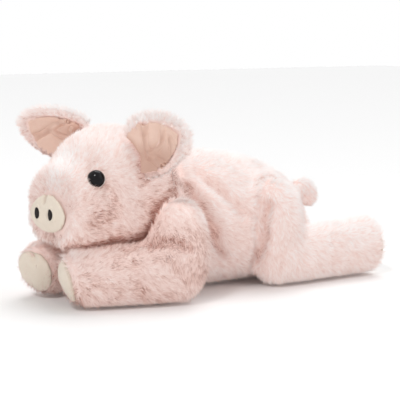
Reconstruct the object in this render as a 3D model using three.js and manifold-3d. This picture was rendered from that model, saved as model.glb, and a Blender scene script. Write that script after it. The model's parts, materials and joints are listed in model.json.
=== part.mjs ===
// A stuffed plush pig that lies on its belly, chin on its forelegs and hind legs stretched out behind.
// Millimetres, +Z up. The snout points toward -X, the pig's left side is -Y, and the floor is z = 0.
import * as THREE from 'three';
import { mergeVertices } from 'three/addons/utils/BufferGeometryUtils.js';
import Module from 'manifold-3d';

const wasm = await Module();
wasm.setup();

// Clearances
const GAP = 0.3;
const NECK_CLEARANCE = 2;
const ROOM_CLEARANCE = 1.2;
const EAR_CLEARANCE = 0.35;
const FLAT_DEPTH = 0.5;
const CUT_OVERRUN = 20;
const FLOOR_CUT_SPAN = 500;
const WELD_DISTANCE = 0.00001;

// Cloth and thread
const PLUSH_WALL = 3;
const LEG_OPENING_RADIUS = 9;

// Torso: from the chest behind the head to the rump
const TORSO_FRONT_X = -64;
const TORSO_LENGTH = 158;
const TORSO_WIDTH = 98;
const TORSO_HEIGHT = 107;

// Head: a ball that turns in a hollow of the chest, with a muzzle in front
const HEAD_X = -85;
const HEAD_Z = 82;
const HEAD_RADIUS = 47.5;
const HEAD_REST_ANGLE = 6;
const HEAD_AWAY_ANGLE = 22;
const HEAD_NEAR_ANGLE = 10;
const MUZZLE_LENGTH = 53;
const NECK_OPENING_RADIUS = 18;
const NECK_SEAM_RADIUS = 33;

// Snout
const SNOUT_WIDTH = 41;
const SNOUT_HEIGHT = 29.5;
const SNOUT_DOME = 5;
const SNOUT_DROP = 14.5;
const NOSTRIL_WIDTH = 4.4;
const NOSTRIL_HEIGHT = 8;
const NOSTRIL_SPACING = 15;
const NOSTRIL_DEPTH = 1.4;

// Eyes: a glossy dome on a stem, held inside the head by a washer
const EYE_RADIUS = 6;
const EYE_DOME = 4.4;
const EYE_SINK = 1.6;
const EYE_SIDE_ANGLE = 41;
const EYE_RISE_ANGLE = 14;
const EYE_STEM_RADIUS = 1.8;
const EYE_STEM_LENGTH = 9;
const WASHER_RADIUS = 6.5;
const WASHER_THICKNESS = 1.4;

// Ears
const LEFT_EAR_SIDE_ANGLE = 55;
const RIGHT_EAR_SIDE_ANGLE = 45;
const EAR_BASE_WIDTH = 50;
const EAR_LENGTH = 44;
const EAR_THICKNESS = 5;
const EAR_CUP = 7;
const EAR_CURL = 7;
const EAR_DROOP = 9;
const LEFT_EAR_FORWARD_ANGLE = -15;
const RIGHT_EAR_FORWARD_ANGLE = 38;
const EAR_BEND_ANGLE = 15;
const LINING_MARGIN = 4.5;
const LINING_THICKNESS = 1.6;

// Forelegs: an upright upper leg at the shoulder and a foreleg that lies forward on the floor
const SHOULDER_X = -58;
const SHOULDER_Y = 50;
const UPPER_LEG_RADIUS = 25;
const UPPER_LEG_HEIGHT = 80;
const FORELEG_LENGTH = 82;
const FORELEG_INWARD = 29;
const FORELEG_WIDTH = 46;
const FORELEG_HEIGHT = 47;
const FORELEG_LEAN_ANGLE = 15;
const FORELEG_SPREAD_ANGLE = 20;

// Hind legs: an upright thigh at the hip and a leg that lies straight back on the floor
const HIP_X = 39;
const HIP_Y = 42;
const THIGH_RADIUS = 24;
const THIGH_HEIGHT = 86;
const HIND_LEG_LENGTH = 97;
const HIND_LEG_OUTWARD = 4;
const HIND_LEG_WIDTH = 40;
const HIND_LEG_HEIGHT = 50;
const HIND_OUTWARD_ANGLE = 22;
const HIND_INWARD_ANGLE = 8;

// Soles
const SOLE_WIDTH = 36;
const SOLE_HEIGHT = 38;
const SOLE_DOME = 3.4;

// Tail
const TAIL_INSET = 4;
const TAIL_Z = 64;
const TAIL_RADIUS = 7.5;
const TAIL_REACH = 11;
const TAIL_RISE = 5.5;
const TAIL_BEND_RADIUS = 7;
const TAIL_TIP_SLANT = 1.8;
const TAIL_WAG_ANGLE = 25;

// Facets of the outer forms and of what lies inside them
const OUTER = { sides: 16, steps: 8 };
const INNER = { sides: 10, steps: 5 };
const BALL = { sides: 22, steps: 12 };
const ROOM = { sides: 16, steps: 8 };
const LEAF = { sides: 16, steps: 8 };
const LINING = { sides: 12, steps: 8 };
const TUBE = { sides: 10, steps: 9 };
const PAD = { sides: 12, steps: 6 };
const TURNED_SIDES = 12;
const DOME_STEPS = 4;
const THREAD_SIDES = 6;

// Colours
const PLUSH_PINK = 0xe6cfc9;
const SKIN_CREAM = 0xe3d8c8;
const LINING_PINK = 0xe4c0b0;
const FILLING_WHITE = 0xf2f0ea;
const THREAD_PINK = 0xc9a59c;
const BLACK = 0x141416;
const WASHER_WHITE = 0xe9e9e4;
const PLUSH_ROUGHNESS = 0.95;
const VELOUR_ROUGHNESS = 0.85;
const GLOSS_ROUGHNESS = 0.1;

// Outlines, as shares of the sizes above, from the first end of a form to its last
const torsoShares = {
  place: [0, 0.025, 0.1, 0.25, 0.41, 0.56, 0.69, 0.8, 0.9, 0.96, 1],
  width: [0.62, 0.76, 0.88, 0.96, 1, 0.98, 0.92, 0.81, 0.62, 0.42, 0.16],
  top: [0.91, 0.945, 0.975, 0.995, 1, 0.965, 0.915, 0.85, 0.755, 0.67, 0.55],
  bottom: [0.36, 0.24, 0.1, 0.02, 0, 0, 0, 0.01, 0.06, 0.15, 0.32],
};
const muzzleShares = {
  place: [0.1, 0.25, 0.45, 0.65, 0.82, 0.95, 1],
  width: [0.9, 0.93, 0.89, 0.83, 0.78, 0.69, 0.55],
  top: [0.9, 0.87, 0.72, 0.56, 0.47, 0.39, 0.27],
  bottom: [-0.93, -0.96, -0.95, -0.92, -0.87, -0.78, -0.68],
};
const forelegShares = {
  place: [-0.16, -0.08, 0.1, 0.35, 0.6, 0.8, 0.93, 0.985, 1],
  width: [0.5, 0.8, 1, 1.02, 0.98, 0.94, 0.88, 0.78, 0.6],
  top: [0.75, 0.9, 1, 1.02, 1, 0.96, 0.92, 0.87, 0.78],
  bottom: [0.25, 0.1, 0, 0, 0, 0, 0.03, 0.07, 0.16],
};
const hindLegShares = {
  place: [-0.16, -0.08, 0.1, 0.35, 0.6, 0.8, 0.96, 0.995, 1],
  width: [0.5, 0.8, 1.04, 1.02, 0.97, 0.97, 1, 0.94, 0.8],
  top: [0.7, 0.85, 0.97, 0.97, 0.96, 0.98, 1, 0.97, 0.88],
  bottom: [0.25, 0.1, 0, 0, 0, 0, 0.01, 0.04, 0.1],
};
const earShares = {
  place: [-0.12, 0.1, 0.3, 0.5, 0.7, 0.86, 0.96, 1],
  width: [0.8, 0.95, 1, 0.96, 0.81, 0.57, 0.32, 0.12],
};
const tailShares = {
  thickness: [0.75, 0.98, 1, 1, 1, 1, 0.98, 0.75],
};
const liningTipShare = 0.25;
const soleRiseShare = 0.45;
const uprightRoundShare = 0.82;
const snoutTaperShare = 0.24;

const UP = new THREE.Vector3(0, 0, 1);
const pig = new THREE.Group();

// Solids

// A solid from corner places and triangles, with its faces turned to point out.
function solidFrom(places, corners) {
  const at = (i) => new THREE.Vector3().fromArray(places, 3 * i);
  let volume = 0;
  for (let i = 0; i < corners.length; i += 3) {
    volume += at(corners[i]).dot(at(corners[i + 1]).cross(at(corners[i + 2])));
  }
  const triVerts = new Uint32Array(volume < 0 ? Array.from(corners).reverse() : corners);
  return new wasm.Manifold(new wasm.Mesh({ numProp: 3, vertProperties: new Float32Array(places), triVerts }));
}

function solidOf(geometry) {
  const bare = geometry.clone();
  bare.deleteAttribute('normal');
  bare.deleteAttribute('uv');
  const merged = mergeVertices(bare, WELD_DISTANCE);
  return solidFrom(merged.attributes.position.array, merged.index.array);
}

function geometryOf(solid) {
  const mesh = solid.getMesh();
  const geometry = new THREE.BufferGeometry();
  geometry.setAttribute('position', new THREE.BufferAttribute(new Float32Array(mesh.vertProperties), 3));
  geometry.setIndex(new THREE.BufferAttribute(new Uint32Array(mesh.triVerts), 1));
  return geometry;
}

function placed(solid, matrix) {
  const geometry = geometryOf(solid).applyMatrix4(matrix);
  return solidFrom(geometry.attributes.position.array, geometry.index.array);
}

function addMesh(parent, name, solid, color, roughness) {
  const material = new THREE.MeshStandardMaterial({ color, roughness, metalness: 0 });
  const mesh = new THREE.Mesh(geometryOf(solid), material);
  mesh.name = name;
  parent.add(mesh);
}

// A turn in degrees about an axis through a pivot.
function turnAbout(pivot, axis, degrees) {
  const turn = new THREE.Matrix4().makeRotationAxis(axis, THREE.MathUtils.degToRad(degrees));
  const there = new THREE.Matrix4().makeTranslation(pivot);
  const back = new THREE.Matrix4().makeTranslation(pivot.clone().negate());
  return there.multiply(turn).multiply(back);
}

// All the room that a solid takes as it turns through a list of angles.
function swept(solid, pivot, axis, angles) {
  const copies = angles.map((angle) => placed(solid, turnAbout(pivot, axis, angle)));
  return copies.reduce((all, copy) => all.add(copy));
}

function anglesBetween(first, last, count) {
  return Array.from({ length: count + 1 }, (_, i) => first + (last - first) * i / count);
}

// A column of shares, read smoothly at t from 0 to 1.
function readShares(column, t) {
  const points = column.map((share) => new THREE.Vector2(share, share));
  return new THREE.SplineCurve(points).getPoint(t).x;
}

// A closed skin over oval rings. A ring has a centre, two unit directions and how far it reaches along them.
function skinOver(rings, sides) {
  const points = [];
  const addPoint = (p) => points.push(p.x, p.y, p.z) / 3 - 1;
  const first = addPoint(rings[0].centre);
  const rows = rings.map((ring) => Array.from({ length: sides }, (_, i) => {
    const angle = 2 * Math.PI * i / sides;
    const side = Math.cos(angle);
    const rise = Math.sin(angle);
    const height = rise > 0 ? ring.above : ring.below;
    const p = ring.centre.clone();
    p.addScaledVector(ring.across, side * ring.halfWidth);
    p.addScaledVector(ring.upward, rise * height + (ring.cup ?? 0) * side * side);
    return addPoint(p);
  }));
  const last = addPoint(rings[rings.length - 1].centre);
  const faces = [];
  for (let i = 0; i < sides; i += 1) {
    const j = (i + 1) % sides;
    faces.push(first, rows[0][j], rows[0][i]);
    for (let r = 0; r + 1 < rows.length; r += 1) {
      faces.push(rows[r][i], rows[r][j], rows[r + 1][j], rows[r][i], rows[r + 1][j], rows[r + 1][i]);
    }
    faces.push(last, rows[rows.length - 1][i], rows[rows.length - 1][j]);
  }
  const geometry = new THREE.BufferGeometry();
  geometry.setAttribute('position', new THREE.BufferAttribute(new Float32Array(points), 3));
  geometry.setIndex(faces);
  return solidOf(geometry);
}

// How much wider a faceted circle is made, so that its flats stay outside the true one.
function aroundShare(sides) {
  return 1 / Math.cos(Math.PI / sides);
}

// An upright form that is round from above: a turned profile with full shoulders, standing on the floor.
function uprightForm(place, radius, height, grow, facets, widening = 1) {
  const profile = Array.from({ length: facets.steps + 1 }, (_, i) => {
    const angle = Math.PI * i / facets.steps;
    const reach = Math.sin(angle) ** uprightRoundShare * (radius + grow) * widening;
    const z = height / 2 - FLAT_DEPTH - Math.cos(angle) * (height / 2 + grow);
    return new THREE.Vector2(i % facets.steps === 0 ? 0 : reach, z);
  });
  const geometry = new THREE.LatheGeometry(profile, facets.sides);
  geometry.rotateX(Math.PI / 2);
  geometry.translate(place.x, place.y, 0);
  return solidOf(geometry);
}

function ball(centre, radius, facets) {
  const geometry = new THREE.SphereGeometry(radius, facets.sides, facets.steps);
  geometry.rotateZ(Math.PI / 2);
  geometry.translate(centre.x, centre.y, centre.z);
  return solidOf(geometry);
}

// A faceted ball whose flats stay outside the true ball.
function ballAround(centre, radius, facets) {
  return ball(centre, radius * aroundShare(facets.sides) * aroundShare(2 * facets.steps), facets);
}

function rod(from, to, radius, sides) {
  const length = from.distanceTo(to);
  const geometry = new THREE.CylinderGeometry(radius, radius, length, sides);
  const direction = to.clone().sub(from).normalize();
  geometry.applyQuaternion(new THREE.Quaternion().setFromUnitVectors(new THREE.Vector3(0, 1, 0), direction));
  const middle = from.clone().add(to).multiplyScalar(0.5);
  geometry.translate(middle.x, middle.y, middle.z);
  return solidOf(geometry);
}

// Everything below the floor, to cut the resting forms flat.
function belowFloor() {
  const geometry = new THREE.BoxGeometry(FLOOR_CUT_SPAN, FLOOR_CUT_SPAN, CUT_OVERRUN);
  geometry.translate(0, 0, -CUT_OVERRUN / 2);
  return solidOf(geometry);
}

// Whole forms, each grown outward or inward by a wall or a clearance

function torsoForm(grow, facets) {
  const rings = Array.from({ length: facets.steps + 1 }, (_, i) => {
    const t = i / facets.steps;
    const place = readShares(torsoShares.place, t);
    const top = readShares(torsoShares.top, t) * TORSO_HEIGHT - FLAT_DEPTH;
    const bottom = readShares(torsoShares.bottom, t) * TORSO_HEIGHT - FLAT_DEPTH;
    const middle = (top + bottom) / 2;
    return {
      centre: new THREE.Vector3(TORSO_FRONT_X + place * TORSO_LENGTH + (2 * t - 1) * grow, 0, middle),
      across: new THREE.Vector3(0, -1, 0),
      upward: UP,
      halfWidth: readShares(torsoShares.width, t) * TORSO_WIDTH / 2 + grow,
      above: top - middle + grow,
      below: middle - bottom + grow,
    };
  });
  return skinOver(rings, facets.sides);
}

// The muzzle, in the head's own frame: its origin is the middle of the ball and the snout points toward -X.
function muzzleForm(grow, facets) {
  const rings = Array.from({ length: facets.steps + 1 }, (_, i) => {
    const t = i / facets.steps;
    const forward = readShares(muzzleShares.place, t) * MUZZLE_LENGTH + t * grow;
    const top = readShares(muzzleShares.top, t) * HEAD_RADIUS;
    const bottom = readShares(muzzleShares.bottom, t) * HEAD_RADIUS;
    const middle = (top + bottom) / 2;
    return {
      centre: new THREE.Vector3(-forward, 0, middle),
      across: new THREE.Vector3(0, 1, 0),
      upward: UP,
      halfWidth: readShares(muzzleShares.width, t) * HEAD_RADIUS + grow,
      above: top - middle + grow,
      below: middle - bottom + grow,
    };
  });
  return skinOver(rings, facets.sides);
}

function headForm(grow, ballFacets, muzzleFacets) {
  return ball(new THREE.Vector3(), HEAD_RADIUS + grow, ballFacets).add(muzzleForm(grow, muzzleFacets));
}

// A leg that lies along the floor from a start point in a level direction. Its far end leans out at the top.
function lyingForm(start, direction, length, width, height, lean, shares, grow, facets) {
  const across = new THREE.Vector3().crossVectors(UP, direction);
  const rings = Array.from({ length: facets.steps + 1 }, (_, i) => {
    const t = i / facets.steps;
    const along = readShares(shares.place, t) * length + (2 * t - 1) * grow;
    const top = readShares(shares.top, t) * height - FLAT_DEPTH;
    const bottom = readShares(shares.bottom, t) * height - FLAT_DEPTH;
    const middle = (top + bottom) / 2;
    return {
      centre: start.clone().addScaledVector(direction, along).setZ(middle),
      across,
      upward: UP.clone().addScaledVector(direction, t * Math.tan(lean)),
      halfWidth: readShares(shares.width, t) * width / 2 + grow,
      above: top - middle + grow,
      below: middle - bottom + grow,
    };
  });
  return skinOver(rings, facets.sides);
}

// The two kinds of leg. side is -1 for the pig's left and 1 for its right.
function foreleg(side) {
  const start = new THREE.Vector3(SHOULDER_X, side * SHOULDER_Y, 0);
  const direction = new THREE.Vector3(-FORELEG_LENGTH, -side * FORELEG_INWARD, 0).normalize();
  const lean = THREE.MathUtils.degToRad(FORELEG_LEAN_ANGLE);
  return {
    start,
    direction,
    lean,
    length: FORELEG_LENGTH,
    height: FORELEG_HEIGHT,
    upright: (grow, facets, widening) => uprightForm(
      start, UPPER_LEG_RADIUS, UPPER_LEG_HEIGHT, grow, facets, widening),
    lying: (grow, facets) => lyingForm(
      start, direction, FORELEG_LENGTH, FORELEG_WIDTH, FORELEG_HEIGHT, lean, forelegShares, grow, facets),
    torsoAngles: anglesBetween(0, side * FORELEG_SPREAD_ANGLE, 2),
  };
}

function hindLeg(side) {
  const start = new THREE.Vector3(HIP_X, side * HIP_Y, 0);
  const direction = new THREE.Vector3(HIND_LEG_LENGTH, side * HIND_LEG_OUTWARD, 0).normalize();
  return {
    start,
    direction,
    lean: 0,
    length: HIND_LEG_LENGTH,
    height: HIND_LEG_HEIGHT,
    upright: (grow, facets, widening) => uprightForm(
      start, THIGH_RADIUS, THIGH_HEIGHT, grow, facets, widening),
    lying: (grow, facets) => lyingForm(
      start, direction, HIND_LEG_LENGTH, HIND_LEG_WIDTH, HIND_LEG_HEIGHT, 0, hindLegShares, grow, facets),
    torsoAngles: anglesBetween(side * HIND_INWARD_ANGLE, -side * HIND_OUTWARD_ANGLE, 3),
  };
}

const legs = {
  left_foreleg: foreleg(-1),
  right_foreleg: foreleg(1),
  left_hind_leg: hindLeg(-1),
  right_hind_leg: hindLeg(1),
};
const headCentre = new THREE.Vector3(HEAD_X, 0, HEAD_Z);
const floor = belowFloor();

// The head's place: its ball's middle, turned a little toward the pig's left.
function headPlace() {
  const turn = new THREE.Matrix4().makeRotationZ(THREE.MathUtils.degToRad(HEAD_REST_ANGLE));
  return turn.setPosition(headCentre);
}

// Torso

// The torso with hollows for the head's ball, the four upright leg forms and the tail's root.
function hollowedTorso(grow, hollowGrow, facets) {
  let torso = torsoForm(grow, facets);
  torso = torso.subtract(ballAround(headCentre, HEAD_RADIUS + NECK_CLEARANCE + hollowGrow, BALL));
  torso = torso.subtract(ballAround(tailRoot(), TAIL_RADIUS + GAP + hollowGrow, PAD));
  for (const leg of Object.values(legs)) {
    torso = torso.subtract(leg.upright(GAP + hollowGrow, facets, aroundShare(facets.sides)));
  }
  return torso.subtract(floor);
}

function addTorso() {
  const cavity = hollowedTorso(-PLUSH_WALL, PLUSH_WALL, INNER);
  const neck = new THREE.Vector3(HEAD_X + HEAD_RADIUS, 0, HEAD_Z);
  const deeper = neck.clone().setX(neck.x + CUT_OVERRUN);
  const opening = rod(neck, deeper, NECK_OPENING_RADIUS, INNER.sides);
  const cover = hollowedTorso(0, 0, OUTER).subtract(cavity).subtract(opening);
  const filling = hollowedTorso(-PLUSH_WALL - GAP, PLUSH_WALL + GAP, INNER);
  addMesh(pig, 'body_cover', cover, PLUSH_PINK, PLUSH_ROUGHNESS);
  addMesh(pig, 'body_filling', filling, FILLING_WHITE, PLUSH_ROUGHNESS);
}

// The thread that sews the neck: a ring between the ball and its hollow.
function addNeckSeam() {
  const middle = HEAD_RADIUS + NECK_CLEARANCE / 2;
  const back = Math.sqrt(middle ** 2 - NECK_SEAM_RADIUS ** 2);
  const thread = NECK_CLEARANCE / 2 - GAP;
  const section = Array.from({ length: THREAD_SIDES + 1 }, (_, i) => {
    const angle = 2 * Math.PI * i / THREAD_SIDES;
    return new THREE.Vector2(NECK_SEAM_RADIUS + thread * Math.cos(angle), thread * Math.sin(angle));
  });
  const geometry = new THREE.LatheGeometry(section, BALL.sides);
  geometry.rotateZ(-Math.PI / 2);
  geometry.translate(headCentre.x + back, headCentre.y, headCentre.z);
  addMesh(pig, 'neck_seam_thread', solidOf(geometry), THREAD_PINK, PLUSH_ROUGHNESS);
}

// Tail: a short thick tube that leaves the rump and bends down

function tailRoot() {
  return new THREE.Vector3(TORSO_FRONT_X + TORSO_LENGTH - TAIL_INSET, 0, TAIL_Z);
}

function addTail() {
  const left = new THREE.Vector3(0, -1, 0);
  const bendTop = tailRoot().add(new THREE.Vector3(TAIL_REACH, 0, TAIL_RISE));
  const bendSide = bendTop.clone().add(new THREE.Vector3(TAIL_BEND_RADIUS, 0, -TAIL_BEND_RADIUS));
  const tip = bendTop.clone().add(new THREE.Vector3(TAIL_TIP_SLANT, 0, -2 * TAIL_BEND_RADIUS));
  const path = new THREE.CatmullRomCurve3([tailRoot(), bendTop, bendSide, tip]);
  const rings = Array.from({ length: TUBE.steps + 1 }, (_, i) => {
    const t = i / TUBE.steps;
    const reach = TAIL_RADIUS * readShares(tailShares.thickness, t);
    return {
      centre: path.getPoint(t),
      across: left,
      upward: new THREE.Vector3().crossVectors(path.getTangent(t), left),
      halfWidth: reach,
      above: reach,
      below: reach,
    };
  });
  const root = ball(tailRoot(), TAIL_RADIUS, PAD);
  const angles = anglesBetween(-TAIL_WAG_ANGLE, TAIL_WAG_ANGLE, 4);
  const clear = swept(torsoForm(GAP, OUTER), tailRoot(), UP, angles);
  const tail = skinOver(rings, TUBE.sides).subtract(clear).add(root);
  addMesh(pig, 'tail', tail, PLUSH_PINK, PLUSH_ROUGHNESS);
}

// Legs

function sole(leg, grow) {
  const geometry = new THREE.SphereGeometry(1, PAD.sides, PAD.steps);
  geometry.scale(SOLE_DOME + grow, SOLE_WIDTH / 2 + grow, SOLE_HEIGHT / 2 + grow);
  geometry.rotateY(leg.lean);
  geometry.rotateZ(Math.atan2(leg.direction.y, leg.direction.x));
  const rise = leg.height * soleRiseShare;
  const along = leg.length + (rise - leg.height / 2) * Math.tan(leg.lean);
  const end = leg.start.clone().addScaledVector(leg.direction, along).setZ(rise);
  geometry.translate(end.x, end.y, end.z);
  return solidOf(geometry);
}

// A leg clear of the torso, the head and the floor wherever its joint and the head's take them.
function legForm(leg, grow, clearance, facets) {
  const torsoRoom = swept(torsoForm(clearance + ROOM_CLEARANCE, ROOM), leg.start, UP, leg.torsoAngles);
  const headBall = ballAround(headCentre, HEAD_RADIUS + NECK_CLEARANCE + clearance, ROOM);
  const ballRoom = swept(headBall, leg.start, UP, leg.torsoAngles);
  const whole = leg.lying(grow, facets).subtract(torsoRoom).add(leg.upright(grow, facets));
  const muzzle = placed(muzzleForm(clearance + ROOM_CLEARANCE, ROOM), headPlace());
  const muzzleRoom = swept(muzzle, headCentre, UP, anglesBetween(-HEAD_AWAY_ANGLE, HEAD_NEAR_ANGLE, 3));
  return whole.subtract(muzzleRoom).subtract(ballRoom).subtract(floor);
}

function addLeg(name, leg) {
  const pad = sole(leg, 0);
  const pocket = sole(leg, GAP);
  const cavity = legForm(leg, -PLUSH_WALL, GAP + PLUSH_WALL, INNER);
  const inside = leg.start.clone().setZ(leg.height);
  const opening = rod(inside, inside.clone().setY(0), LEG_OPENING_RADIUS, INNER.sides);
  const cover = legForm(leg, 0, GAP, OUTER).subtract(cavity).subtract(opening).subtract(pocket);
  const filling = legForm(leg, -PLUSH_WALL - GAP, 2 * GAP + PLUSH_WALL, INNER).subtract(pocket);
  addMesh(pig, `${name}_cover`, cover, PLUSH_PINK, PLUSH_ROUGHNESS);
  addMesh(pig, `${name}_filling`, filling, FILLING_WHITE, PLUSH_ROUGHNESS);
  addMesh(pig, `${name}_sole`, pad, SKIN_CREAM, VELOUR_ROUGHNESS);
}

// Head, in its own frame: the ball's middle is its origin

const headOuter = headForm(0, BALL, OUTER);

// How far the head's skin is from the ball's middle in a direction.
function skinDistance(direction) {
  const geometry = geometryOf(headOuter);
  const mesh = new THREE.Mesh(geometry, new THREE.MeshBasicMaterial({ side: THREE.DoubleSide }));
  const hits = new THREE.Raycaster(new THREE.Vector3(), direction).intersectObject(mesh);
  return hits[hits.length - 1].distance;
}

function snoutForm(grow) {
  const geometry = new THREE.SphereGeometry(1, OUTER.sides, PAD.steps);
  geometry.rotateZ(Math.PI / 2);
  geometry.scale(SNOUT_DOME + grow, SNOUT_WIDTH / 2 + grow, SNOUT_HEIGHT / 2 + grow);
  const points = geometry.attributes.position;
  for (let i = 0; i < points.count; i += 1) {
    const rise = Math.max(0, points.getZ(i)) / (SNOUT_HEIGHT / 2);
    points.setY(i, points.getY(i) * (1 - snoutTaperShare * rise));
  }
  geometry.translate(-MUZZLE_LENGTH, 0, -SNOUT_DROP);
  return solidOf(geometry);
}

function nostrilForm(side, grow) {
  const geometry = new THREE.SphereGeometry(1, TUBE.sides, INNER.steps);
  geometry.scale(NOSTRIL_DEPTH + grow, NOSTRIL_WIDTH / 2 + grow, NOSTRIL_HEIGHT / 2 + grow);
  const across = NOSTRIL_SPACING / 2;
  const forward = SNOUT_DOME * Math.sqrt(1 - (across / (SNOUT_WIDTH / 2)) ** 2);
  geometry.translate(-MUZZLE_LENGTH - forward, side * across, -SNOUT_DROP);
  return solidOf(geometry);
}

function eyeDirection(side) {
  const around = THREE.MathUtils.degToRad(EYE_SIDE_ANGLE);
  const rise = THREE.MathUtils.degToRad(EYE_RISE_ANGLE);
  const level = Math.cos(rise);
  return new THREE.Vector3(-level * Math.cos(around), side * level * Math.sin(around), Math.sin(rise));
}

// A shape turned about +Y, set with its own origin in the skin at an eye and +Y pointing out of the head.
function setAtEye(geometry, side) {
  const direction = eyeDirection(side);
  const seat = direction.clone().multiplyScalar(skinDistance(direction) - EYE_SINK);
  geometry.applyQuaternion(new THREE.Quaternion().setFromUnitVectors(new THREE.Vector3(0, 1, 0), direction));
  geometry.translate(seat.x, seat.y, seat.z);
  return solidOf(geometry);
}

function eyeForm(side, grow) {
  const dome = Array.from({ length: DOME_STEPS + 1 }, (_, i) => {
    const angle = Math.PI / 2 * i / DOME_STEPS;
    return new THREE.Vector2((EYE_RADIUS + grow) * Math.cos(angle), (EYE_DOME + grow) * Math.sin(angle));
  });
  dome[DOME_STEPS].setX(0);
  const stem = EYE_STEM_RADIUS + grow;
  const profile = [
    new THREE.Vector2(0, -EYE_STEM_LENGTH - grow),
    new THREE.Vector2(stem, -EYE_STEM_LENGTH - grow),
    new THREE.Vector2(stem, -grow),
    new THREE.Vector2(EYE_RADIUS + grow, -grow),
    ...dome,
  ];
  return setAtEye(new THREE.LatheGeometry(profile, TURNED_SIDES), side);
}

function washerForm(side, grow) {
  const bore = EYE_STEM_RADIUS + GAP - grow;
  const rim = WASHER_RADIUS + grow;
  const top = EYE_SINK - PLUSH_WALL - GAP + grow;
  const bottom = EYE_SINK - PLUSH_WALL - GAP - WASHER_THICKNESS - grow;
  const profile = [[bore, bottom], [rim, bottom], [rim, top], [bore, top], [bore, bottom]];
  const geometry = new THREE.LatheGeometry(profile.map(([r, y]) => new THREE.Vector2(r, y)), TURNED_SIDES);
  return setAtEye(geometry, side);
}

// Everything that goes through or sits in the head's skin, grown by a clearance.
function headFittings(grow) {
  let all = snoutForm(grow);
  for (const side of [-1, 1]) {
    all = all.add(eyeForm(side, grow)).add(washerForm(side, grow));
  }
  return all;
}

function addHead(head) {
  const cavity = headForm(-PLUSH_WALL, INNER, INNER);
  const back = new THREE.Vector3(HEAD_RADIUS + CUT_OVERRUN, 0, 0);
  const opening = rod(new THREE.Vector3(), back, NECK_OPENING_RADIUS, INNER.sides);
  const cover = headOuter.subtract(cavity).subtract(opening).subtract(headFittings(GAP));
  const filling = headForm(-PLUSH_WALL - GAP, INNER, INNER).subtract(headFittings(GAP));
  addMesh(head, 'head_cover', cover, PLUSH_PINK, PLUSH_ROUGHNESS);
  addMesh(head, 'head_filling', filling, FILLING_WHITE, PLUSH_ROUGHNESS);
}

function addFace(head) {
  let pad = snoutForm(0).subtract(muzzleForm(GAP, OUTER));
  for (const [name, side] of [['left', -1], ['right', 1]]) {
    pad = pad.subtract(nostrilForm(side, GAP));
    addMesh(head, `${name}_nostril`, nostrilForm(side, 0), BLACK, VELOUR_ROUGHNESS);
    addMesh(head, `${name}_eye`, eyeForm(side, 0), BLACK, GLOSS_ROUGHNESS);
    addMesh(head, `${name}_eye_washer`, washerForm(side, 0), WASHER_WHITE, VELOUR_ROUGHNESS);
  }
  addMesh(head, 'snout_pad', pad, SKIN_CREAM, VELOUR_ROUGHNESS);
}

// Ears: cupped leaves whose roots follow the ball. axis runs along the root, out points away from the head.
function earFrame(side, sideAngle, forwardAngle) {
  const angle = THREE.MathUtils.degToRad(sideAngle);
  const radial = new THREE.Vector3(0, side * Math.sin(angle), Math.cos(angle));
  const axis = new THREE.Vector3(0, side * Math.cos(angle), -Math.sin(angle));
  const forward = THREE.MathUtils.degToRad(forwardAngle);
  const out = radial.clone().multiplyScalar(Math.cos(forward));
  out.x -= Math.sin(forward);
  const face = new THREE.Vector3().crossVectors(out, axis).multiplyScalar(side);
  return { side, axis, out, face, root: radial.clone().multiplyScalar(HEAD_RADIUS) };
}

// The ear's leaf between two depths, measured from its middle toward its front face.
function leafForm(ear, margin, back, front, facets) {
  const rings = Array.from({ length: facets.steps + 1 }, (_, i) => {
    const t = i / facets.steps;
    const along = readShares(earShares.place, t) * (EAR_LENGTH - margin);
    const reach = Math.max(0, along / EAR_LENGTH);
    const centre = ear.root.clone().addScaledVector(ear.out, along);
    centre.addScaledVector(ear.face, EAR_CURL * reach ** 2 + (front - back) / 2);
    centre.addScaledVector(ear.axis, EAR_DROOP * reach);
    const halfWidth = readShares(earShares.width, t) * EAR_BASE_WIDTH / 2;
    return {
      centre,
      across: ear.axis,
      upward: ear.face,
      halfWidth: Math.max(halfWidth - margin, halfWidth * liningTipShare),
      above: (front + back) / 2,
      below: (front + back) / 2,
      cup: EAR_CUP * (halfWidth / (EAR_BASE_WIDTH / 2)) ** 2,
    };
  });
  return skinOver(rings, facets.sides);
}

// The root's corners dip toward the ball as the ear bends, so they are cut clear of it at both limits too.
function addEar(head, name, side, sideAngle, forwardAngle) {
  const ear = earFrame(side, sideAngle, forwardAngle);
  const half = EAR_THICKNESS / 2;
  const wideBall = ball(new THREE.Vector3(), HEAD_RADIUS + GAP + EAR_CLEARANCE, BALL);
  const bent = swept(wideBall, ear.root, ear.axis, [-EAR_BEND_ANGLE, EAR_BEND_ANGLE]);
  const headRoom = ball(new THREE.Vector3(), HEAD_RADIUS + GAP, BALL).add(bent);
  const front = half + LINING_THICKNESS / 2;
  const back = LINING_THICKNESS / 2 - half;
  const lining = leafForm(ear, LINING_MARGIN, back, front, LINING).subtract(headRoom);
  const pocket = leafForm(ear, LINING_MARGIN - GAP, back + GAP, front + GAP, LINING);
  const leaf = leafForm(ear, 0, half, half, LEAF).subtract(headRoom).subtract(pocket);
  addMesh(head, name, leaf, PLUSH_PINK, PLUSH_ROUGHNESS);
  addMesh(head, `${name}_lining`, lining, LINING_PINK, VELOUR_ROUGHNESS);
}

addTorso();
addNeckSeam();
addTail();
for (const [name, leg] of Object.entries(legs)) {
  addLeg(name, leg);
}
const head = new THREE.Group();
head.applyMatrix4(headPlace());
pig.add(head);
addHead(head);
addFace(head);
addEar(head, 'left_ear', -1, LEFT_EAR_SIDE_ANGLE, LEFT_EAR_FORWARD_ANGLE);
addEar(head, 'right_ear', 1, RIGHT_EAR_SIDE_ANGLE, RIGHT_EAR_FORWARD_ANGLE);

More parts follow.
